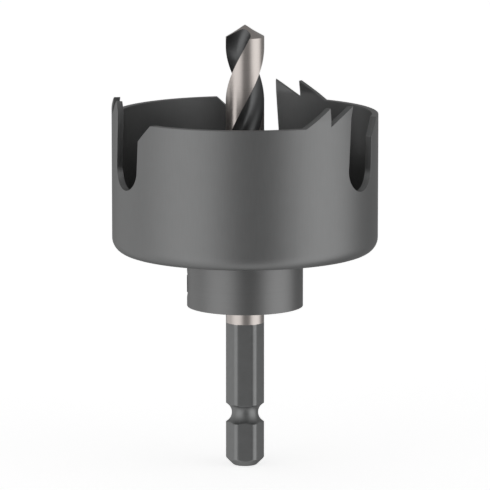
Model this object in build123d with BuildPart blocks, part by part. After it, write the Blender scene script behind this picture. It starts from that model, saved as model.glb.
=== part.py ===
from build123d import *
from math import asin, cos, degrees, radians, sin, sqrt, tan
import os

os.makedirs("parts", exist_ok=True)

# Hole saw with its own arbor: a drawn steel cup with three pairs of set teeth,
# a turned hub riveted into the cup's base, and a twist drill on a hexagon shank
# that a grub screw holds in the hub.
# Millimetres. The axis is Z, the origin is the centre of the shank's end face,
# and the drill points up. Azimuths start at the side that faces -Y and grow
# counter-clockwise seen from above, which is also the cutting direction.

# Cup, drawn from one sheet
cup_diameter = 48.0
cup_wall = 1.2
cup_depth = 25.1  # underside of the base to the rim
cup_corner = 2.7  # outside bend between base and wall

# Slots for chips and for prying out the core, at a slightly uneven spacing
slot_azimuths = (61.0, 175.3, 298.6)
slot_width = 7.95
slot_depth = 12.4  # rim to the round bottom
slot_lean = 3.8  # degrees towards the cutting direction
slot_corner_length = 3.1  # 45 degree cut at the trailing corner

# Teeth, two at the leading edge of each slot
tooth_rise = 3.3  # rim to tip
tooth_pitch = 5.2  # tip to tip along the outside of the wall
tooth_rake = 2.0  # degrees
tooth_set_width = 0.32  # sideways bend at the tip, outwards and inwards in turn
tooth_bend_drop = 2.1  # tip to the line where the set begins
tooth_root = 1.0  # how far the outline reaches into the wall

# Hub, turned, with a spigot rolled over inside the cup
hub_diameter = 21.0
hub_height = 10.0
spigot_diameter = 14.0
spigot_clearance = 0.05
lip_diameter = 16.4
lip_height = 0.9

# Pilot drill, one piece with its hexagon shank
drill_diameter = 6.93
drill_clearance = 0.03  # round body in the hub's bore
drill_reach = 16.0  # cup rim to the drill's point
point_angle = 118.0
collar_length = 3.1  # bright round part below the hub
hex_flats = 6.35
shank_length = 26.25  # end face to the top of the hexagon
shank_end_diameter = 4.25
groove_height = 9.65  # end face to the middle of the locking groove
groove_width = 3.4  # along the shank, at its turned corners
groove_flat = 1.2  # length of the neck at the groove's bottom
groove_neck = 4.8
flute_length = 34.0  # drill corners to the start of the flutes
flute_opening = 89.0  # degrees of the surface that one flute takes
helix_lead = 40.3
web_thickness = 1.5
lip_straight = 1.4  # where the straight cutting face meets the flute's round
lip_azimuth = 93.5  # of one cutting edge, at the drill's corners
run_out_length = 8.0  # where the milling cutter lifted off
flute_overrun = 1.0  # how far the flutes' sweep runs past the point

# Grub screw
screw_diameter = 4.0
screw_clearance = 0.02
screw_height = 4.0  # underside of the hub to the screw's axis
screw_chamfer = 0.45  # at both ends
socket_flats = 2.0
socket_depth = 2.4
countersink_diameter = 4.8

# Heights and radii worked out from the sizes above
cup_radius = cup_diameter / 2
inner_radius = cup_radius - cup_wall
hub_radius = hub_diameter / 2
drill_radius = drill_diameter / 2
spigot_radius = spigot_diameter / 2
lip_radius = lip_diameter / 2
screw_radius = screw_diameter / 2
hub_bottom = shank_length + collar_length
hub_top = hub_bottom + hub_height
base_top = hub_top + cup_wall
rim_height = hub_top + cup_depth
tip_height = rim_height + tooth_rise
drill_apex = rim_height + drill_reach
corner_height = drill_apex - drill_radius / tan(radians(point_angle / 2))
flute_start = corner_height - flute_length


def side_plane(azimuth):
    """Upright plane through the axis, seen from outside: x runs in the cutting direction, y is Z."""
    return Plane.XZ.rotated((0, 0, azimuth))


# One tooth, cut from a ring of the cup's wall that is bent at the set line.
# The ring is trimmed by the tooth's outline on a plane through its tip.
def make_tooth(azimuth, bend, face_foot):
    bend_height = tip_height - tooth_bend_drop
    root_height = rim_height - tooth_root
    back_foot = -tooth_pitch - rake_run
    with BuildPart() as tooth:
        with BuildSketch(Plane.XZ):
            with BuildLine():
                Polyline(
                    (inner_radius, root_height),
                    (cup_radius, root_height),
                    (cup_radius, bend_height),
                    (cup_radius + bend, tip_height),
                    (inner_radius + bend, tip_height),
                    (inner_radius, bend_height),
                    close=True,
                )
            make_face()
        revolve(axis=Axis.Z)
        with BuildSketch(side_plane(azimuth)):
            with BuildLine():
                Polyline(
                    (face_foot, root_height),
                    (face_foot, rim_height),
                    (0, tip_height),
                    (back_foot, rim_height),
                    (back_foot, root_height),
                    close=True,
                )
            make_face()
        extrude(amount=cup_radius + 2 * tooth_set_width, mode=Mode.INTERSECT)
    return tooth.part


# The first tooth's face is the slot's edge, so its tip lies where that edge
# reaches the tip height, and its outline runs on into the slot. The second
# tooth follows one pitch behind.
rake_run = tooth_rise * tan(radians(tooth_rake))
slot_slope = tan(radians(slot_lean))
slot_half = slot_width / 2 / cos(radians(slot_lean))
first_tip = -slot_half + tooth_rise * slot_slope
first_tip_angle = degrees(asin(first_tip / cup_radius))
pitch_angle = degrees(tooth_pitch / cup_radius)
first_teeth = [
    make_tooth(azimuth + first_tip_angle, tooth_set_width, slot_half)
    for azimuth in slot_azimuths
]
second_teeth = [
    make_tooth(azimuth + first_tip_angle - pitch_angle, -tooth_set_width, -rake_run)
    for azimuth in slot_azimuths
]

with BuildPart() as saw_cup:
    # The sheet is bent round outside, with a bevel inside that keeps its thickness
    hole_radius = spigot_radius + spigot_clearance
    inner_bevel = (cup_corner - cup_wall) * (2 - sqrt(2))
    with BuildSketch(Plane.XZ):
        with BuildLine():
            FilletPolyline(
                (hole_radius, hub_top),
                (cup_radius, hub_top),
                (cup_radius, rim_height),
                radius=cup_corner,
            )
            Polyline(
                (cup_radius, rim_height),
                (inner_radius, rim_height),
                (inner_radius, base_top + inner_bevel),
                (inner_radius - inner_bevel, base_top),
                (hole_radius, base_top),
                (hole_radius, hub_top),
            )
        make_face()
    revolve(axis=Axis.Z)
    add(first_teeth)
    add(second_teeth)
    # Leaning slots with a round bottom and a cut-off trailing corner
    slot_low = slot_width / 2 - slot_depth
    slot_high = tooth_rise + slot_width
    slot_middle = (slot_low + slot_high) / 2
    slot_run = (slot_high - slot_low) / cos(radians(slot_lean))
    for azimuth in slot_azimuths:
        with BuildSketch(side_plane(azimuth)):
            with Locations((slot_middle * slot_slope, rim_height + slot_middle)):
                SlotCenterToCenter(slot_run, slot_width, rotation=90 - slot_lean)
            with BuildLine():
                Polyline(
                    (0, rim_height - slot_corner_length),
                    (slot_half - slot_corner_length * slot_slope, rim_height - slot_corner_length),
                    (slot_half + slot_corner_length, rim_height),
                    (slot_half + slot_corner_length, rim_height + tooth_rise),
                    (0, rim_height + tooth_rise),
                    close=True,
                )
            make_face()
        extrude(amount=cup_radius + 2 * tooth_set_width, mode=Mode.SUBTRACT)

with BuildPart() as hub:
    bore_radius = drill_radius + drill_clearance
    lip_top = base_top + lip_height
    with BuildSketch(Plane.XZ):
        with BuildLine():
            Polyline(
                (bore_radius, hub_bottom),
                (hub_radius, hub_bottom),
                (hub_radius, hub_top),
                (spigot_radius, hub_top),
                (spigot_radius, base_top),
                (lip_radius, base_top),
                (lip_radius, lip_top),
                (bore_radius, lip_top),
                close=True,
            )
        make_face()
    revolve(axis=Axis.Z)
    # Tapped hole for the grub screw, square to the axis, with a countersunk mouth
    screw_plane = side_plane(-90).offset(hub_radius).shift_origin((-hub_radius, 0, hub_bottom + screw_height))
    with BuildSketch(screw_plane):
        Circle(screw_radius)
    extrude(amount=-hub_radius, mode=Mode.SUBTRACT)
    with BuildSketch(screw_plane):
        Circle(countersink_diameter / 2)
    extrude(amount=screw_radius - countersink_diameter / 2, taper=45, mode=Mode.SUBTRACT)

with BuildPart() as pilot_drill:
    # Hexagon shank with a flat facing -Y
    with BuildSketch(Plane.XY):
        RegularPolygon(hex_flats / 2, 6, major_radius=False)
    extrude(amount=shank_length)
    # The shank is turned: end chamfer, rounded corners and locking groove
    end_radius = shank_end_diameter / 2
    end_chamfer = drill_radius - end_radius
    neck_radius = groove_neck / 2
    with BuildSketch(Plane.XZ):
        with BuildLine():
            Polyline(
                (0, 0),
                (end_radius, 0),
                (drill_radius, end_chamfer),
                (drill_radius, groove_height - groove_width / 2),
                (neck_radius, groove_height - groove_flat / 2),
                (neck_radius, groove_height + groove_flat / 2),
                (drill_radius, groove_height + groove_width / 2),
                (drill_radius, shank_length),
                (0, shank_length),
                close=True,
            )
        make_face()
    revolve(axis=Axis.Z, mode=Mode.INTERSECT)
    # Round body and ground point
    with BuildSketch(Plane.XZ):
        with BuildLine():
            Polyline(
                (0, shank_length),
                (drill_radius, shank_length),
                (drill_radius, corner_height),
                (0, drill_apex),
                close=True,
            )
        make_face()
    revolve(axis=Axis.Z)
    # Two helical flutes: a straight cutting face that runs into a round heel
    flute_height = drill_apex - flute_start + flute_overrun
    start_angle = lip_azimuth - 90 - 360 * flute_length / helix_lead
    heel_angle = asin(web_thickness / 2 / drill_radius) + radians(flute_opening)
    heel = Vector(drill_radius * cos(heel_angle), drill_radius * sin(heel_angle))
    outer_heel = heel * 2
    outer_lip = (drill_diameter, web_thickness / 2)
    with BuildLine() as flute_path:
        Line((0, 0, flute_start), (0, 0, flute_start + flute_height))
    with BuildLine() as flute_guide:
        Helix(helix_lead, flute_height, drill_radius, center=(0, 0, flute_start))
    for turn in (0, 180):
        with BuildSketch(Plane.XY.offset(flute_start).rotated((0, 0, start_angle + turn))):
            with BuildLine():
                Line(outer_lip, (lip_straight, web_thickness / 2))
                TangentArc((lip_straight, web_thickness / 2), heel, tangent=(-1, 0))
                Line(heel, outer_heel)
                RadiusArc(outer_heel, outer_lip, drill_diameter)
            make_face()
        sweep(path=flute_path.line, binormal=flute_guide.edge(), mode=Mode.SUBTRACT)
    # The flutes run out on a cone, from the surface down to the web
    with BuildSketch(Plane.XZ):
        with BuildLine():
            Polyline(
                (0, flute_start),
                (drill_radius, flute_start),
                (0, flute_start + run_out_length),
                close=True,
            )
        make_face()
    revolve(axis=Axis.Z)

with BuildPart() as set_screw:
    # From flush with the hub's side down to the drill
    screw_length = hub_radius - drill_radius - screw_clearance
    with BuildSketch(screw_plane):
        Circle(screw_radius - screw_clearance)
    extrude(amount=-screw_length)
    chamfer(set_screw.edges().filter_by(GeomType.CIRCLE), screw_chamfer)
    # Hexagon socket
    with BuildSketch(screw_plane):
        RegularPolygon(socket_flats / 2, 6, major_radius=False)
    extrude(amount=-socket_depth, mode=Mode.SUBTRACT)

saw_cup.part.label = "saw_cup"
hub.part.label = "hub"
pilot_drill.part.label = "pilot_drill"
set_screw.part.label = "set_screw"
export_step(saw_cup.part, "parts/saw_cup.step")
export_step(hub.part, "parts/hub.step")
export_step(pilot_drill.part, "parts/pilot_drill.step")
export_step(set_screw.part, "parts/set_screw.step")
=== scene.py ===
import math

import bmesh
import bpy
import numpy as np
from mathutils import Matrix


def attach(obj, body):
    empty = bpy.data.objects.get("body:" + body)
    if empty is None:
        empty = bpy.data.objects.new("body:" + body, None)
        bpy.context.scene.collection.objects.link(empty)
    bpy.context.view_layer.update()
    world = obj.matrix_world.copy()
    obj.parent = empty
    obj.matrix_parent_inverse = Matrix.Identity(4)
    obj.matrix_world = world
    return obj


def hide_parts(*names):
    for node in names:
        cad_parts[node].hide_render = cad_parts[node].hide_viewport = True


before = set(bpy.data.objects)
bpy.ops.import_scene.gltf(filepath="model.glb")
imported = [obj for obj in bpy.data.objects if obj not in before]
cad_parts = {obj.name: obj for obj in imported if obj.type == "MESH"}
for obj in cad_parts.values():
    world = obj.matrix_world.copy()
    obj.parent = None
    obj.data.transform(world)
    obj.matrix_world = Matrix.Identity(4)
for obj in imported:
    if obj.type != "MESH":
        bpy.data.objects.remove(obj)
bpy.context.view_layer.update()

scene = bpy.context.scene
scene.view_settings.view_transform = "Standard"
mm = 0.001  # sizes below are in millimetres; azimuths start at -Y and grow counter-clockwise from above


# Shader maths: a wrapped socket takes + - * / with numbers and with other wrapped sockets

class Field:
    def __init__(self, tree, socket):
        self.tree = tree
        self.socket = socket

    def maths(self, operation, *others):
        return self.tree.field("ShaderNodeMath", {"operation": operation}, (self, *others))

    def __add__(self, other):
        return self.maths("ADD", other)

    def __sub__(self, other):
        return self.maths("SUBTRACT", other)

    def __mul__(self, other):
        return self.maths("MULTIPLY", other)

    def __truediv__(self, other):
        return self.maths("DIVIDE", other)

    def __rsub__(self, other):
        return self * -1.0 + other

    __radd__ = __add__
    __rmul__ = __mul__

    def between(self, low, high):  # 0 at low, 1 at high, held outside
        return ((self - low) / (high - low)).maths("MAXIMUM", 0.0).maths("MINIMUM", 1.0)

    def smooth(self):  # soft shoulders for a value from 0 to 1: v v (3 - 2 v)
        return self * self * (3.0 - 2.0 * self)


class Tree:
    def __init__(self, owner):
        owner.use_nodes = True
        self.tree = owner.node_tree
        self.tree.nodes.clear()

    def node(self, kind, settings=None, inputs=()):
        made = self.tree.nodes.new(kind)
        for name, value in (settings or {}).items():
            setattr(made, name, value)
        for key, value in inputs.items() if isinstance(inputs, dict) else enumerate(inputs):
            if isinstance(value, Field):
                self.tree.links.new(value.socket, made.inputs[key])
            elif isinstance(value, bpy.types.NodeSocket):
                self.tree.links.new(value, made.inputs[key])
            else:
                made.inputs[key].default_value = value
        return made

    def field(self, kind, settings=None, inputs=(), output=0):
        return Field(self, self.node(kind, settings, inputs).outputs[output])

    def split(self, vector):  # a vector's three parts
        parts = self.node("ShaderNodeSeparateXYZ", None, (vector,))
        return [Field(self, part) for part in parts.outputs]

    def place(self):  # object coordinates in millimetres
        return self.scaled(self.node("ShaderNodeTexCoord").outputs["Object"], 1.0 / mm)

    def scaled(self, vector, factor):  # a vector or a colour times a number
        inputs = {0: vector, "Scale": factor}
        return self.node("ShaderNodeVectorMath", {"operation": "SCALE"}, inputs).outputs[0]

    def vector(self, x, y, z):
        return self.node("ShaderNodeCombineXYZ", None, (x, y, z)).outputs[0]

    def noise(self, vector, scale, detail):
        return self.field("ShaderNodeTexNoise", None, {"Vector": vector, "Scale": scale, "Detail": detail})

    def mix(self, share, first, second):  # from the first colour to the second; either may be a link
        ends = [(*colour, 1.0) if isinstance(colour, tuple) else colour for colour in (first, second)]
        mixed = self.node("ShaderNodeMix", {"data_type": "RGBA"}, {0: share, 6: ends[0], 7: ends[1]})
        return mixed.outputs[2]

    def bump(self, relief, strength, height):
        return self.node("ShaderNodeBump", None, {
            "Height": relief, "Strength": strength, "Distance": height * mm}).outputs[0]

    def surface(self, inputs):
        shader = self.node("ShaderNodeBsdfPrincipled", None, inputs)
        self.node("ShaderNodeOutputMaterial", None, {"Surface": shader.outputs[0]})


def newMaterial(name):
    material = bpy.data.materials.new(name)
    return material, Tree(material)


# Meshes: a grid is an array of points, rows by columns, in millimetres. Grids that share
# edges are joined there, so a piece made of several is one closed skin.

joining = {"weld": 0.002, "bevelSegments": 2}


def gridQuads(rows, columns, start, wraps):  # the point numbers at the four corners of every cell
    index = start + np.arange(rows * columns).reshape(rows, columns)
    if wraps:
        index = np.hstack([index, index[:, :1]])
    corners = [index[:-1, :-1], index[:-1, 1:], index[1:, 1:], index[1:, :-1]]
    return np.stack(corners, axis=-1).reshape(-1, 4)


def makePiece(name, grids, material, sharpAngle, edgeRound=None):
    # All grids in one mesh, welded and facing outwards. Edges past the sharp angle are rounded,
    # or kept sharp where no rounding is given.
    points = np.concatenate([grid.reshape(-1, 3) for grid, wraps in grids]) * mm
    starts = np.cumsum([0] + [grid.shape[0] * grid.shape[1] for grid, wraps in grids])
    faces = np.concatenate([
        gridQuads(grid.shape[0], grid.shape[1], start, wraps)
        for (grid, wraps), start in zip(grids, starts)
    ])
    mesh = bpy.data.meshes.new(name)
    mesh.from_pydata(points.tolist(), [], faces.tolist())
    work = bmesh.new()
    work.from_mesh(mesh)
    bmesh.ops.remove_doubles(work, verts=work.verts, dist=joining["weld"] * mm)
    bmesh.ops.recalc_face_normals(work, faces=work.faces)
    work.to_mesh(mesh)
    work.free()
    mesh.shade_smooth()
    piece = bpy.data.objects.new(name, mesh)
    scene.collection.objects.link(piece)
    if edgeRound:
        bevel = piece.modifiers.new("edgeRound", "BEVEL")
        bevel.width = edgeRound * mm
        bevel.segments = joining["bevelSegments"]
        bevel.limit_method = "ANGLE"
        bevel.angle_limit = math.radians(sharpAngle)
        bevel.harden_normals = True
        bevel.use_clamp_overlap = False
    else:
        mesh.set_sharp_from_angle(angle=math.radians(sharpAngle))
    mesh.materials.append(material)
    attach(piece, "root")
    print(name, len(mesh.polygons), "faces")
    return piece


def ringPoint(radius, azimuth, height):  # a point at an azimuth in degrees; the three broadcast together
    turn = np.radians(azimuth)
    return np.stack(np.broadcast_arrays(radius * np.sin(turn), -radius * np.cos(turn), height), axis=-1)


def carried(profile, azimuths):  # a profile of radius and height carried round the axis
    profile = np.asarray(profile)
    return ringPoint(profile[:, :1], azimuths, profile[:, 1:])


def arc(centre, radius, first, last, count):  # points of an arc, its angles in degrees from the first axis
    turn = np.radians(np.linspace(first, last, count))
    return np.stack([centre[0] + radius * np.cos(turn), centre[1] + radius * np.sin(turn)], axis=-1)


# Camera, where the photograph was taken from

view = {
    "distance": 0.800,
    "height": 0.1722,
    "pitch": 9.356,
    "lens": 329.6,
    "sensor": 36.0,
    "nearest": 0.05,
    "farthest": 20.0,
}

cameraData = bpy.data.cameras.new("camera")
cameraData.lens = view["lens"]
cameraData.sensor_width = view["sensor"]
cameraData.clip_start = view["nearest"]
cameraData.clip_end = view["farthest"]
camera = bpy.data.objects.new("camera", cameraData)
camera.location = (0.0, -view["distance"], view["height"])
camera.rotation_euler = (math.radians(90.0 - view["pitch"]), 0.0, 0.0)
scene.collection.objects.link(camera)
scene.camera = camera
print("camera ready")


# Studio: three soft light walls in a dim room, and a floor of white paper. The camera sees the
# paper and the white backdrop; polished metal sees the backdrop and, below it, the walls' lower
# parts in place of the paper, as it does where a tool hangs free in front of a white background.

studio = {
    "walls": [{"azimuth": -50.0, "halfWidth": 45.0, "light": 1.02},
              {"azimuth": 70.0, "halfWidth": 47.0, "light": 1.15},
              {"azimuth": -113.0, "halfWidth": 44.0, "light": 0.50}],
    "wallTop": 60.0,  # degrees above the horizon where the walls have faded
    "wallFoot": 50.0,  # degrees below it where they begin to fade
    "footFade": 0.8,  # how much of their light is gone straight below
    "room": 0.285,
    "ceiling": 0.03,  # added straight above
    "ceilingFoot": 0.2,  # sine of the height where it begins
    "paperGlow": 0.38,  # from the paper straight below
    "backdropHalf": 7.0,  # degrees round the direction of the view
    "backdropSolid": 0.9,  # the share of that which is fully white
    "floorHalf": 3.0,
    "floorGrey": 0.75,
    "floorWhite": 0.70,  # added for the camera
}


def rays(tree):  # shares of camera rays and of mirrored or refracted rays
    path = tree.node("ShaderNodeLightPath")
    return Field(tree, path.outputs["Is Camera Ray"]), \
        Field(tree, path.outputs["Is Glossy Ray"]) + Field(tree, path.outputs["Is Transmission Ray"])


def makeRoom():
    # Light by direction: the room, the ceiling and the paper's glow, and for each wall a soft lobe
    # across its azimuth, times its fading upwards and downwards
    world = bpy.data.worlds.new("room")
    scene.world = world
    tree = Tree(world)
    x, y, z = tree.split(tree.node("ShaderNodeTexCoord").outputs["Generated"])
    flat = (x * x + y * y).maths("SQRT").maths("MAXIMUM", 0.001)  # never zero, as it divides
    below = (z * -1.0).between(math.sin(math.radians(studio["wallFoot"])), 1.0)
    light = studio["room"] + studio["ceiling"] * z.between(studio["ceilingFoot"], 1.0)
    light = light + studio["paperGlow"] * below.smooth()
    down = 1.0 - studio["footFade"] * below
    up = 1.0 - z.between(0.0, math.sin(math.radians(studio["wallTop"])))
    for wall in studio["walls"]:
        turn = math.radians(wall["azimuth"])
        facing = (x * math.sin(turn) - y * math.cos(turn)) / flat
        across = facing.between(math.cos(math.radians(wall["halfWidth"])), 1.0).smooth()
        light = light + wall["light"] * across * up * down
    seen, mirrored = rays(tree)
    pitch = math.radians(view["pitch"])
    ahead = y * math.cos(pitch) - z * math.sin(pitch)
    half = math.radians(studio["backdropHalf"])
    backdrop = ahead.between(math.cos(half), math.cos(half * studio["backdropSolid"]))
    white = seen + mirrored * backdrop
    strength = light * (1.0 - white) + white
    background = tree.node("ShaderNodeBackground", None, {"Color": (1.0,) * 4, "Strength": strength})
    tree.node("ShaderNodeOutputWorld", None, {"Surface": background.outputs[0]})


def makeFloor():
    # White paper that mirrored rays pass through
    half = studio["floorHalf"]
    mesh = bpy.data.meshes.new("floor")
    corners = [(-half, -half, 0), (half, -half, 0), (half, half, 0), (-half, half, 0)]
    mesh.from_pydata(corners, [], [(0, 1, 2, 3)])
    floor = bpy.data.objects.new("floor", mesh)
    scene.collection.objects.link(floor)
    material, tree = newMaterial("floorPaper")
    seen, mirrored = rays(tree)
    paper = tree.node("ShaderNodeBsdfDiffuse", None, {"Color": (studio["floorGrey"],) * 3 + (1.0,)})
    glow = tree.node("ShaderNodeEmission", None, {"Strength": studio["floorWhite"] * seen})
    both = tree.node("ShaderNodeAddShader", None, (paper.outputs[0], glow.outputs[0]))
    through = tree.node("ShaderNodeBsdfTransparent")
    shown = tree.node("ShaderNodeMixShader", None, (mirrored, both.outputs[0], through.outputs[0]))
    tree.node("ShaderNodeOutputMaterial", None, {"Surface": shown.outputs[0]})
    mesh.materials.append(material)


makeRoom()
makeFloor()
print("studio ready")


# Coatings: dark satin finish on drawn and turned steel. A noise is given by its scale and detail,
# and the shares say how much of each noise goes into the tone, the roughness and the relief.

coating = {
    "metallic": 0.85,
    "dieMarks": (5.0, 3.0),
    "dieStretch": 0.06,  # the die's marks change this much more slowly along the wall
    "turningMarks": (7.0, 3.0),
    "grain": (14.0, 3.0),
    "cloud": (0.35, 2.0),
    "tone": {"level": 0.90, "marks": 0.12, "grain": 0.05, "cloud": 0.06},
    "gloss": {"marks": 0.06, "grain": 0.10},
    "relief": {"marks": 0.4, "grain": 0.6},
    "bumpStrength": 0.25,
    "bumpHeight": 0.02,
}


def satinCoat(name, settings, marksOf, paintedShadeOf=None):
    # marksOf gives the tooling marks from the tree and the place, and paintedShadeOf a share of the tone that
    # paints shade
    material, tree = newMaterial(name)
    place = tree.place()
    x, y, z = tree.split(place)
    radius = (x * x + y * y).maths("SQRT")
    tones, gloss, reliefs = coating["tone"], coating["gloss"], coating["relief"]
    marks = marksOf(tree, x, y, z, radius)
    grain = tree.noise(place, *coating["grain"])
    cloud = tree.noise(place, *coating["cloud"])
    tone = tones["level"] + tones["marks"] * marks + tones["grain"] * grain + tones["cloud"] * cloud
    # painted shade: where it is given, the tone is scaled down by a share of painted shade
    if paintedShadeOf:
        tone = tone * paintedShadeOf(radius, z)
    relief = reliefs["grain"] * grain + reliefs["marks"] * marks
    tree.surface({
        "Base Color": tree.scaled(settings["colour"], tone),
        "Metallic": coating["metallic"],
        "Roughness": settings["roughness"] + gloss["grain"] * (grain - 0.5) + gloss["marks"] * (marks - 0.5),
        "Normal": tree.bump(relief, coating["bumpStrength"], coating["bumpHeight"]),
    })
    return material


def dieMarks(tree, x, y, z, radius):  # fine marks along the wall, from the drawing die
    return tree.noise(tree.vector(x, y, z * coating["dieStretch"]), *coating["dieMarks"])


def turningMarks(tree, x, y, z, radius):  # rings that change with height and radius only
    return tree.noise(tree.vector(radius, z, 0.0), *coating["turningMarks"])


# Cup: a drawn wall with teeth and slots. The wall's outline is a line round its top; inside and
# outside follow the same outline, except that a cut runs straight through, so its two ends keep
# the same distance from the plane through the axis and the cut's middle.

cup = {
    "radius": 24.0,
    "wall": 1.2,
    "bottom": 39.35,
    "rim": 64.45,
    "corner": 2.7,  # outside bend between base and wall
    "hole": 7.05,
    "slots": (61.0, 175.3, 298.6),
    "slotWidth": 7.95,
    "slotDepth": 12.4,
    "slotLean": 3.8,
    "cornerCut": 3.1,
    "toothRise": 3.3,
    "toothPitch": 5.2,
    "toothRake": 2.0,
    "toothSet": 0.32,
    "setDrop": 2.1,
    "setSoftness": 0.003,  # roundness of the line where the set begins
    "feet": {"cut": 1.0, "back": 3.0, "tip": 7.0, "gullet": 3.2},  # degrees from a column's top to its foot
    "toothReach": 3.0,  # above one, a column under the teeth leaves its foot upright
    "fan": 5.5,  # degrees that the columns spread below a slot's round bottom
    "fanReach": 3,  # how close to the slots' edges the spread stays
    "fanRise": 6,  # and how soon it is done
    "edgeRound": 0.07,
    "sharpAngle": 38.0,
    "colour": (0.205, 0.207, 0.207),
    "roughness": 0.42,
    "paintedInsideShade": 0.10,  # painted shade: the tone is a little darker inside the cup, where shade falls
    # how softly the painted shade ends round the sheet's middle, in millimetres
    "paintedShadeBlend": 0.1,
    "steps": {"cut": 12, "rim": 22, "back": 12, "face": 6, "wall": 37, "slotRound": 37, "below": 16,
              "bend": 13, "bendInside": 11, "base": 9, "baseInside": 8},
}


def makeCup(material):
    steps = cup["steps"]
    outer = cup["radius"]
    inner = outer - cup["wall"]
    rim = cup["rim"]
    tip = rim + cup["toothRise"]
    slope = math.tan(math.radians(cup["slotLean"]))
    slotHalf = cup["slotWidth"] / 2 / math.cos(math.radians(cup["slotLean"]))
    slotRound = cup["slotWidth"] / 2
    slotHeight = rim - cup["slotDepth"] + slotRound  # centre of the slot's round bottom
    slotShift = (slotHeight - rim) * slope
    cutEnd = slotHalf + cup["cornerCut"]
    cutStart = slotHalf - cup["cornerCut"] * slope
    rake = cup["toothRise"] * math.tan(math.radians(cup["toothRake"]))
    backFoot = -cup["toothPitch"] - rake
    firstAcross = -slotHalf + cup["toothRise"] * slope  # the first tooth's tip, where the slot's edge ends

    def turnOf(radius, across):  # azimuth of a point at a distance across a cut's middle plane
        return np.degrees(np.arcsin(across / radius))

    def setOut(height, share):  # the set grows in a straight line above its bend, which is slightly round
        above = (height - (tip - cup["setDrop"])) / cup["setDrop"]
        return share * cup["toothSet"] * 0.5 * (above + np.sqrt(above * above + cup["setSoftness"]))

    def toothBack(turn, radius):  # height of a tooth's sloping back
        across = radius * np.sin(np.radians(turn))
        return tip + across * (tip - rim) / -backFoot

    def outline(before, after):
        # Azimuth and height at the top of the wall from one slot to the next, outside and inside,
        # then each column's foot, the side to which its top is set, and how late it leaves its foot
        first = after + turnOf(outer, firstAcross)
        second = first - math.degrees(cup["toothPitch"] / outer)

        def side(radius):
            cut = np.linspace(cutStart, cutEnd, steps["cut"], endpoint=False)
            cutHeight = rim - cup["cornerCut"] * (cutEnd - cut) / (cutEnd - cutStart)
            level = np.linspace(before + turnOf(radius, cutEnd), second + turnOf(radius, backFoot),
                                steps["rim"], endpoint=False)
            secondBack = np.linspace(backFoot, 0.0, steps["back"], endpoint=False)
            gullet = second + turnOf(radius, -rake)
            gulletHeight = toothBack(gullet - first, radius)
            face = np.linspace(0.0, 1.0, steps["face"], endpoint=False)
            firstSpan = np.linspace(gullet, after + turnOf(radius, firstAcross), steps["back"] + 1)
            turns = np.concatenate([
                before + turnOf(radius, cut),
                level,
                second + turnOf(radius, secondBack),
                second + turnOf(radius, -rake * face),
                firstSpan,
            ])
            heights = np.concatenate([
                cutHeight,
                np.full(steps["rim"], rim),
                tip + secondBack * (tip - rim) / -backFoot,
                tip + (gulletHeight - tip) * face,
                np.minimum(toothBack(firstSpan - first, radius), tip),
            ])
            return turns, heights

        # The feet stand at the height of the slots' round bottom
        feet = cup["feet"]
        corners = [
            before + turnOf(outer, slotHalf + slotShift),
            before + turnOf(outer, cutEnd) - feet["cut"],
            second + turnOf(outer, backFoot) - feet["back"],
            second - feet["tip"],
            second - feet["gullet"],
            after + turnOf(outer, -slotHalf + slotShift),
        ]
        counts = [steps["cut"], steps["rim"], steps["back"], steps["face"], steps["back"] + 1]
        footTurns = np.concatenate([
            np.linspace(start, end, count, endpoint=stretch == len(counts) - 1)
            for stretch, (start, end, count) in enumerate(zip(corners, corners[1:], counts))
        ])
        bends = np.concatenate([
            np.zeros(steps["cut"] + steps["rim"]),
            np.full(steps["back"] + steps["face"], -1.0),
            np.full(steps["back"] + 1, 1.0),
        ])
        reach = np.concatenate([
            np.ones(steps["cut"]),
            np.linspace(1.0, cup["toothReach"], steps["rim"], endpoint=False),
            np.full(steps["back"] + steps["face"], cup["toothReach"]),
            np.linspace(cup["toothReach"], 1.0, steps["back"] + 1),
        ])
        return side(outer), side(inner), footTurns, bends, reach

    def straightThrough(turns, middle):  # the azimuth inside that belongs to one outside
        return middle + turnOf(inner, outer * np.sin(np.radians(turns - middle)))

    rows = np.linspace(0.0, 1.0, steps["wall"])[:, None]
    grids = []
    ringTurnsOut, ringTurnsIn, ringTops, ringFans = [], [], [], []
    slots = list(cup["slots"])
    for before, after in zip(slots, slots[1:] + [slots[0] + 360.0]):
        (outTurns, outTops), (inTurns, inTops), footOut, bends, reach = outline(before, after)
        # Inside, the columns' feet shift from one slot's direction to the next one's
        share = (footOut - footOut[0]) / (footOut[-1] - footOut[0])
        footIn = footOut + (1 - share) * (straightThrough(footOut[0], before) - footOut[0]) \
            + share * (straightThrough(footOut[-1], after) - footOut[-1])
        # Each column climbs evenly and turns from its foot to its top by the row to the power of its reach
        skins = []
        for radius, turns, tops, feet in (
                (outer, outTurns, outTops, footOut), (inner, inTurns, inTops, footIn)):
            heights = slotHeight + rows * (tops - slotHeight)
            azimuths = feet + (turns - feet) * rows ** reach
            skins.append(ringPoint(radius + setOut(heights, bends), azimuths, heights))
        outside, inside = skins
        grids.append((np.concatenate([outside, inside[::-1]]), False))
        grids.append((np.stack([outside[:, 0], inside[:, 0]]), False))
        grids.append((np.stack([outside[:, -1], inside[:, -1]]), False))
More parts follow.
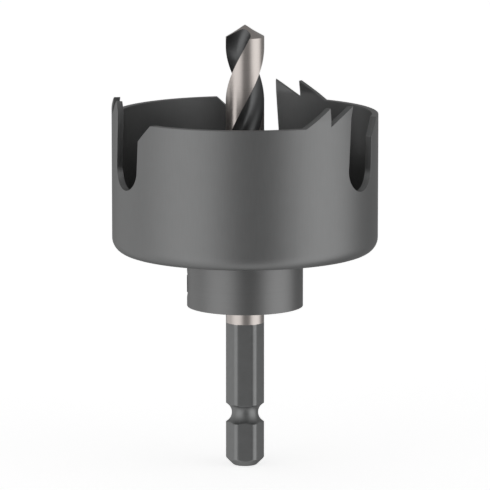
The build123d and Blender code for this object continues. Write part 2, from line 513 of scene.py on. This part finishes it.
        # The slot's round bottom
        sweep = np.radians(np.linspace(180.0, 360.0, steps["slotRound"]))
        bottomAcross = slotShift + slotHalf * np.cos(sweep)
        bottomHeights = slotHeight + slotRound * np.sin(sweep)
        bottomOut = after + turnOf(outer, bottomAcross)
        bottomIn = after + turnOf(inner, bottomAcross)
        grids.append((np.stack([ringPoint(outer, bottomOut, bottomHeights),
                                ringPoint(inner, bottomIn, bottomHeights)]), False))
        power = cup["fanReach"]
        ringTurnsOut += [footOut[:-1], bottomOut[:-1]]
        ringTurnsIn += [footIn[:-1], bottomIn[:-1]]
        ringTops += [np.full(len(footOut) - 1, slotHeight), bottomHeights[:-1]]
        ringFans += [((1 - share) ** power - share ** power)[:-1], np.linspace(-1.0, 1.0, len(sweep))[:-1]]

    # Below the slots the wall, the bend and the base are one profile carried round. The columns
    # spread on their way down, quickly at first, because they stand close at the slots' corners.
    turnsOut, turnsIn, tops, fans = (
        np.concatenate(part) for part in (ringTurnsOut, ringTurnsIn, ringTops, ringFans))
    bendHeight = cup["bottom"] + cup["corner"]
    baseTop = cup["bottom"] + cup["wall"]
    bendCentre = (outer - cup["corner"], bendHeight)
    fall = np.linspace(0.0, 1.0, steps["below"])[:, None]
    spread = cup["fan"] * fans * (1 - (1 - fall) ** cup["fanRise"])
    outsideWall = ringPoint(outer, turnsOut + spread, tops + fall * (bendHeight - tops))
    insideWall = ringPoint(inner, turnsIn + spread, tops + fall * (bendHeight - tops))[::-1]
    turnsOut, turnsIn = turnsOut + spread[-1], turnsIn + spread[-1]
    outsideBend = arc(bendCentre, cup["corner"], 0.0, -90.0, steps["bend"])
    insideBend = arc(bendCentre, cup["corner"] - cup["wall"], -90.0, 0.0, steps["bendInside"])
    flat = np.linspace(0.0, 1.0, steps["base"])[1:, None]
    toHole = np.array([cup["hole"], cup["bottom"]])
    profileOut = np.concatenate([outsideBend, outsideBend[-1] + flat * (toHole - outsideBend[-1])])
    fromHole = np.array([cup["hole"], baseTop])
    flat = np.linspace(0.0, 1.0, steps["baseInside"])[:, None]
    profileIn = np.concatenate([fromHole + flat * (insideBend[0] - fromHole), insideBend[1:]])
    under = carried(profileOut, turnsOut)
    over = carried(profileIn, turnsIn)
    grids.append((np.concatenate([outsideWall, under[1:], over, insideWall[1:]]), True))
    piece = makePiece("sawCup", grids, material, cup["sharpAngle"], cup["edgeRound"])
    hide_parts("saw_cup")


def paintedCupShade(radius, z):
    # Painted shade inside the cup: the tone is less where the distance out from the bend's centre is under
    # the sheet's middle
    past = (radius - (cup["radius"] - cup["corner"])).maths("MAXIMUM", 0.0)
    beneath = (cup["bottom"] + cup["corner"] - z).maths("MAXIMUM", 0.0)
    skin = (past * past + beneath * beneath).maths("SQRT")
    middle = cup["corner"] - cup["wall"] / 2
    outside = skin.between(middle - cup["paintedShadeBlend"], middle + cup["paintedShadeBlend"])
    return 1.0 - cup["paintedInsideShade"] * (1.0 - outside)


# The cup's coat carries painted shade on its inside
makeCup(satinCoat("cupCoat", cup, dieMarks, paintedCupShade))


# Hub: a turned profile carried round, with the grub screw's hole let into its side

hub = {
    "radius": 10.5,
    "bottom": 29.35,
    "top": cup["bottom"],
    "bore": 3.495,
    "boreSeam": 34.35,  # where the lower and the upper part of the profile meet
    "spigot": 7.0,
    "lip": 8.2,
    "lipHeight": 0.9,
    "lipRound": 0.42,
    "screwHeight": 33.35,
    "screwHole": 2.0,
    "countersink": 2.4,
    "holeDepth": 6.6,
    "windowBottom": 29.95,  # the patch of the side that holds the hole
    "windowHalf": 20.0,  # degrees
    "edgeRound": 0.06,
    "sharpAngle": 38.0,
    "colour": (0.195, 0.196, 0.196),
    "roughness": 0.40,
    "steps": {"across": 24, "up": 16, "rest": 128, "patch": 9, "settle": 8,
              "underside": 10, "lipRound": 8, "lipTop": 8},
}


def makeHub(material):
    steps = hub["steps"]
    radius = hub["radius"]
    low = hub["windowBottom"]
    high = 2 * hub["screwHeight"] - low
    windowStart, windowEnd = -90.0 - hub["windowHalf"], -90.0 + hub["windowHalf"]  # round -X
    windowTurns = np.linspace(windowStart, windowEnd, steps["across"] + 1)
    otherTurns = np.linspace(windowEnd, windowStart + 360.0, steps["rest"] + 1)
    allTurns = np.concatenate([windowTurns[:-1], otherTurns[:-1]])
    sideHeights = np.linspace(low, high, steps["up"] + 1)
    sheetTop = hub["top"] + cup["wall"]
    lipTop = sheetTop + hub["lipHeight"]
    lipCorner = (hub["lip"] - hub["lipRound"], lipTop - hub["lipRound"])

    underside = [(hub["bore"], hub["boreSeam"]), (hub["bore"], hub["bottom"])]
    underside += [(r, hub["bottom"]) for r in np.linspace(hub["bore"], radius, steps["underside"])[1:]]
    underside += [(radius, low)]
    topside = [(radius, high), (radius, hub["top"]), (hub["spigot"], hub["top"]),
               (hub["spigot"], sheetTop), (hub["lip"], sheetTop)]
    topside += arc(lipCorner, hub["lipRound"], 0.0, 90.0, steps["lipRound"]).tolist()
    topside += [(r, lipTop) for r in np.linspace(lipCorner[0], hub["bore"], steps["lipTop"])[1:]]
    topside += [(hub["bore"], hub["boreSeam"])]

    # The patch in the window: rings that change from its frame to the screw hole, all on the
    # hub's side, then down the countersink and the hole to a floor just short of the bore
    frameTurns = np.concatenate([windowTurns[:-1], np.full(steps["up"], windowTurns[-1]),
                                 windowTurns[::-1][:-1], np.full(steps["up"], windowTurns[0])])
    frameHeights = np.concatenate([np.full(steps["across"], low), sideHeights[:-1],
                                   np.full(steps["across"], high), sideHeights[::-1][:-1]])
    framePoints = ringPoint(radius, frameTurns, frameHeights)
    angle = np.arctan2(framePoints[:, 2] - hub["screwHeight"], framePoints[:, 1])
    mouth = np.full(angle.shape, hub["countersink"])
    for again in range(steps["settle"]):  # where the 45 degree countersink meets the round side
        depth = radius - np.sqrt(radius ** 2 - (mouth * np.cos(angle)) ** 2)
        mouth = hub["countersink"] - depth
    across = mouth * np.cos(angle)
    along = mouth * np.sin(angle)
    share = np.linspace(0.0, 1.0, steps["patch"])[:, None]
    side = framePoints[:, 1] + share * (across - framePoints[:, 1])
    height = framePoints[:, 2] + share * (hub["screwHeight"] + along - framePoints[:, 2])
    patch = np.stack([-np.sqrt(radius ** 2 - side ** 2), side, height], axis=-1)
    holeTop = -radius + hub["countersink"] - hub["screwHole"]
    holeFloor = -radius + hub["holeDepth"]
    x = np.array([holeTop, holeFloor, holeFloor])[:, None]
    reach = np.array([hub["screwHole"], hub["screwHole"], 0.0])[:, None]
    inside = np.stack(np.broadcast_arrays(
        x, reach * np.cos(angle), hub["screwHeight"] + reach * np.sin(angle)), axis=-1)
    grids = [
        (carried(underside, allTurns), True),
        (carried([(radius, z) for z in sideHeights], otherTurns), False),
        (carried(topside, allTurns), True),
        (np.concatenate([patch, inside]), True),
    ]
    piece = makePiece("hubBody", grids, material, hub["sharpAngle"], hub["edgeRound"])
    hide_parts("hub")


makeHub(satinCoat("hubCoat", hub, turningMarks))


# Pilot drill: one closed profile carried up the axis. The hexagon shank, the round body and the
# twisted flutes use the same columns, and every flute column ends on the ground point.

drill = {
    "radius": 3.465,
    "apex": 80.45,
    "pointAngle": 118.0,
    "relief": 0.14,  # how far the point's flank falls behind a cutting edge, at its outline
    "dish": 0.04,  # and how much more half-way in
    "reliefAngle": 10.0,
    "fluteStart": 44.368,
    "runOut": 8.0,
    "lead": 40.3,
    "lipAzimuth": 93.5,
    "lipHeight": 78.368,  # of the lips' outer corners
    "web": 1.5,
    "lipStraight": 1.4,
    "fluteOpening": 89.0,
    "hexFlats": 6.35,
    "shankTop": 26.25,
    "endRadius": 2.125,
    "endCentre": 1.2,  # a ring on the end face, which keeps its shading flat
    "groove": 9.65,
    "grooveHalf": 1.7,
    "grooveRound": 2.0,
    "neck": 2.4,
    "softEdge": 0.06,  # roundness between the hexagon and the turned outline
    "edgeReach": 0.1,  # how far the rounding of a turned edge reaches
    "edgeSink": 0.02,  # and how much it takes off
    "collarRound": 0.05,
    "lineBend": 10.0,  # degrees a millimetre that the point's lines bend beside a flute's edge
    "sharpAngle": 32.0,
    "steps": {"land": 30, "face": 12, "round": 54, "chamfer": 8, "groove": 29, "lower": 8, "upper": 16,
              "body": 26, "flute": 131, "point": 15},
}


def makeDrill(material):
    steps = drill["steps"]
    radius = drill["radius"]
    halfWeb = drill["web"] / 2
    lipTurn = math.degrees(math.asin(halfWeb / radius))
    heelTurn = lipTurn + drill["fluteOpening"]
    heel = radius * np.array([math.cos(math.radians(heelTurn)), math.sin(math.radians(heelTurn))])
    start = np.array([drill["lipStraight"], halfWeb])
    gap = heel - start
    fluteRound = (gap @ gap) / (2 * gap[1])  # of the arc that leaves the straight face smoothly for the heel
    centre = start + np.array([0.0, fluteRound])
    heelAngle = math.degrees(math.atan2(heel[1] - centre[1], heel[0] - centre[0])) - 360.0

    # Half the section: round the land to the lip, in along the face and round to the heel
    landTurns = np.radians(np.linspace(heelTurn - 180.0, lipTurn, steps["land"], endpoint=False))
    land = radius * np.stack([np.cos(landTurns), np.sin(landTurns)], axis=-1)
    faceX = np.linspace(math.sqrt(radius ** 2 - halfWeb ** 2), start[0], steps["face"], endpoint=False)
    face = np.stack([faceX, np.full(steps["face"], halfWeb)], axis=-1)
    hollow = arc(centre, fluteRound, -90.0, heelAngle, steps["round"] + 1)[:-1]
    half = np.concatenate([land, face, hollow])
    section = np.concatenate([half, -half])
    count = len(section)
    reach = np.hypot(section[:, 0], section[:, 1])
    turns = np.degrees(np.unwrap(np.arctan2(section[:, 1], section[:, 0])))
    fluteSteps = steps["face"] + steps["round"]
    roundHalf = np.concatenate([np.degrees(landTurns),
                                np.linspace(lipTurn, heelTurn, fluteSteps, endpoint=False)])
    roundTurns = np.concatenate([roundHalf, roundHalf + 180.0])

    def twist(height):  # degrees from +X to the section's first axis
        return drill["lipAzimuth"] - 90.0 + (height - drill["lipHeight"]) * 360.0 / drill["lead"]

    def turned(x, y, height):  # the section's point, turned by the twist at its height
        angle = np.radians(twist(height))
        return np.stack([x * np.cos(angle) - y * np.sin(angle), x * np.sin(angle) + y * np.cos(angle),
                         np.broadcast_to(height, x.shape)], axis=-1)

    def pointHeight(distance, turn):
        # The ground cone, less a fall that grows with the angle behind each lip and settles. The angle
        # it takes is wider near the centre, where the chisel edge joins the two lips.
        distance = np.maximum(distance, 1e-6)  # never zero, as it divides
        chisel = math.hypot(drill["lipStraight"], halfWeb)
        lip = np.degrees(np.arcsin(halfWeb / np.maximum(distance, chisel)))
        behind = np.abs((turn - lip + 90.0) % 180.0 - 90.0)
        share = distance / radius
        fall = drill["relief"] * share + drill["dish"] * 4.0 * share * (1.0 - share)
        settling = drill["reliefAngle"] * (1.0 + (drill["web"] / distance) ** 2)
        cone = drill["apex"] - distance / math.tan(math.radians(drill["pointAngle"] / 2))
        return cone - fall * (1.0 - np.exp(-behind / settling))

    # Shank: the lesser of the hexagon's radius and the turned outline's, with a soft edge between
    firstTurn = round((roundTurns[0] + twist(drill["fluteStart"])) * count / 360.0) * 360.0 / count
    evenTurns = firstTurn + np.arange(count) * 360.0 / count
    offFlat = (evenTurns + 90.0 + 30.0) % 60.0 - 30.0  # degrees from the nearest flat's middle; one faces -Y
    flatRadius = drill["hexFlats"] / 2 / np.cos(np.radians(offFlat))
    chamferTop = radius - drill["endRadius"]
    dip = np.linspace(-1.0, 1.0, steps["groove"])
    grooveHeights = drill["groove"] + drill["grooveHalf"] * dip
    grooveSide = np.sqrt(drill["grooveRound"] ** 2 - (drill["grooveHalf"] * dip) ** 2)
    grooveRadius = drill["neck"] + drill["grooveRound"] - grooveSide
    edge, sink = drill["edgeReach"], drill["edgeSink"]
    end, below, above = drill["endRadius"], grooveHeights[0], grooveHeights[-1]
    envelope = np.array(
        [(0.0, 0.0), (0.0, drill["endCentre"]), (0.0, end - edge), (0.3 * edge, end - sink),
         (edge, end + 0.9 * edge)]
        + [(z, end + z) for z in np.linspace(3 * edge, chamferTop - 0.8 * edge, steps["chamfer"])]
        + [(chamferTop, radius - sink), (chamferTop + edge, radius)]
        + [(z, radius) for z in np.linspace(chamferTop + 6 * edge, below - 3 * edge, steps["lower"])]
        + [(below - edge / 2, radius - sink / 2)]
        + list(zip(grooveHeights, grooveRadius))
        + [(above + edge / 2, radius - sink / 2)]
        + [(z, radius) for z in np.linspace(above + 3 * edge, drill["shankTop"], steps["upper"])]
    )
    heights, limits = envelope[:, :1], envelope[:, 1:]
    apart = np.sqrt((flatRadius - limits) ** 2 + drill["softEdge"] ** 2)
    shankRadius = np.maximum(0.5 * (flatRadius + limits - apart), 0.0)
    shankRadius = np.where(limits > 0.0, shankRadius, 0.0)
    shank = ringPoint(shankRadius, evenTurns + 90.0, heights)

    # Collar and body: round, while the columns pass from even spacing to the flutes' own
    bodyHeights = np.linspace(drill["shankTop"], drill["fluteStart"], steps["body"])
    bodyHeights = np.insert(bodyHeights, 1, drill["shankTop"] + drill["collarRound"])[:, None]
    bodyRadius = np.full((len(bodyHeights), count), radius)
    bodyRadius[0] = np.maximum(shankRadius[-1], radius - drill["collarRound"])
    passed = (bodyHeights - hub["bottom"]) / (drill["fluteStart"] - hub["bottom"])
    fluteTurns = roundTurns + twist(drill["fluteStart"])
    fluteTurns = fluteTurns + 360.0 * np.round((evenTurns[0] - fluteTurns[0]) / 360.0)
    bodyTurns = evenTurns + np.clip(passed, 0.0, 1.0) * (fluteTurns - evenTurns)
    bodyPart = ringPoint(bodyRadius, bodyTurns + 90.0, bodyHeights)

    # Flutes: the section rises and turns, and grows out of the round body along the run-out,
    # quickly at first, as where a milling cutter lifts off
    rise = np.linspace(0.0, 1.0, steps["flute"])[:, None]
    fluteHeights = drill["fluteStart"] + rise * (pointHeight(reach, turns) - drill["fluteStart"])
    out = np.clip((fluteHeights - drill["fluteStart"]) / drill["runOut"], 0.0, 1.0)
    depth = 1.0 - (1.0 - out) ** 2
    roundX = radius * np.cos(np.radians(roundTurns))
    roundY = radius * np.sin(np.radians(roundTurns))
    flutes = turned(roundX + depth * (section[:, 0] - roundX), roundY + depth * (section[:, 1] - roundY),
                    fluteHeights)

    # Point: from the outline to the apex on lines that bend a little, so that none leaves the metal
    near = np.concatenate([np.linspace(1.0, 0.0, steps["land"], endpoint=False) ** 2,
                           np.linspace(0.0, 1.0, fluteSteps, endpoint=False) ** 2])
    bend = drill["lineBend"] * np.concatenate([near, near])
    inward = np.linspace(1.0, 0.0, steps["point"])[:, None]
    distance = reach * inward
    lineTurns = turns + bend * (reach - distance)
    point = turned(distance * np.cos(np.radians(lineTurns)), distance * np.sin(np.radians(lineTurns)),
                   pointHeight(distance, lineTurns))
    grid = np.concatenate([shank, bodyPart, flutes[1:], point[1:]])
    piece = makePiece("pilotDrill", [(grid, True)], material, drill["sharpAngle"])
    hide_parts("pilot_drill")


# Its steel: ground bright on the round surfaces and the point, black from heat treatment elsewhere

steel = {
    "ground": ((0.515, 0.472, 0.446), (0.530, 0.487, 0.461)),
    "fluteOxide": ((0.130, 0.132, 0.133), (0.140, 0.142, 0.143)),
    "shankOxide": ((0.195, 0.198, 0.198), (0.225, 0.228, 0.228)),
    "rings": (9.0, 2.0),
    "ringStretch": 0.5,  # the grinding rings change this much more slowly across the radius
    "grain": (12.0, 3.0),
    "cloud": (0.8, 2.0),
    "landDepth": (0.035, 0.015),  # how far in the brightness ends and where it is full
    "collarBlend": 0.02,
    "pointSlope": (0.55, 0.60),  # upward part of the normal, so that no flute wall is taken for the point
    "pointDrop": (1.0, 0.9),  # below the lips' height
    "metallic": (0.85, 1.0),  # oxide, ground
    "roughness": (0.40, 0.28),  # oxide, ground
    "ringGloss": 0.04,
    "relief": {"rings": 0.15, "grain": 0.85},
    "bumpStrength": 0.12,
    "bumpHeight": 0.01,
}


def drillSteel():
    material, tree = newMaterial("drillSteel")
    place = tree.place()
    x, y, z = tree.split(place)
    radius = (x * x + y * y).maths("SQRT")
    aboveShank = z.between(drill["shankTop"] - steel["collarBlend"], drill["shankTop"] + steel["collarBlend"])
    land = radius.between(*(drill["radius"] - depth for depth in steel["landDepth"])) * aboveShank
    upward = tree.split(tree.node("ShaderNodeTexCoord").outputs["Normal"])[2]
    nearPoint = z.between(*(drill["lipHeight"] - drop for drop in steel["pointDrop"]))
    bright = land.maths("MAXIMUM", upward.between(*steel["pointSlope"]) * nearPoint)
    rings = tree.noise(tree.vector(radius * steel["ringStretch"], 0.0, z), *steel["rings"])
    grain = tree.noise(place, *steel["grain"])
    cloud = tree.noise(place, *steel["cloud"])
    oxide = tree.mix(aboveShank, tree.mix(cloud, *steel["shankOxide"]), tree.mix(cloud, *steel["fluteOxide"]))
    relief = steel["relief"]["rings"] * rings + steel["relief"]["grain"] * grain
    oxideMetallic, groundMetallic = steel["metallic"]
    oxideRoughness, groundRoughness = steel["roughness"]
    roughness = oxideRoughness + (groundRoughness - oxideRoughness) * bright
    tree.surface({
        "Base Color": tree.mix(bright, oxide, tree.mix(rings, *steel["ground"])),
        "Metallic": oxideMetallic + (groundMetallic - oxideMetallic) * bright,
        "Roughness": roughness + steel["ringGloss"] * (rings - 0.5),
        "Normal": tree.bump(relief, steel["bumpStrength"], steel["bumpHeight"]),
    })
    return material


makeDrill(drillSteel())


# Grub screw: the CAD piece in black oxide

screw = {
    "oxide": ((0.085, 0.086, 0.088), (0.125, 0.126, 0.128)),
    "grain": (10.0, 3.0),
    "metallic": 0.7,
    "roughness": (0.35, 0.55),  # least, most
    "bumpStrength": 0.2,
    "bumpHeight": 0.02,
}


def blackOxide():
    material, tree = newMaterial("blackOxide")
    grain = tree.noise(tree.place(), *screw["grain"])
    smoothest, roughest = screw["roughness"]
    tree.surface({
        "Base Color": tree.mix(grain, *screw["oxide"]),
        "Metallic": screw["metallic"],
        "Roughness": smoothest + (roughest - smoothest) * grain,
        "Normal": tree.bump(grain, screw["bumpStrength"], screw["bumpHeight"]),
    })
    return material


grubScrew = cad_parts["set_screw"]
grubScrew.data.materials.clear()
grubScrew.data.materials.append(blackOxide())
print("pieces dressed")
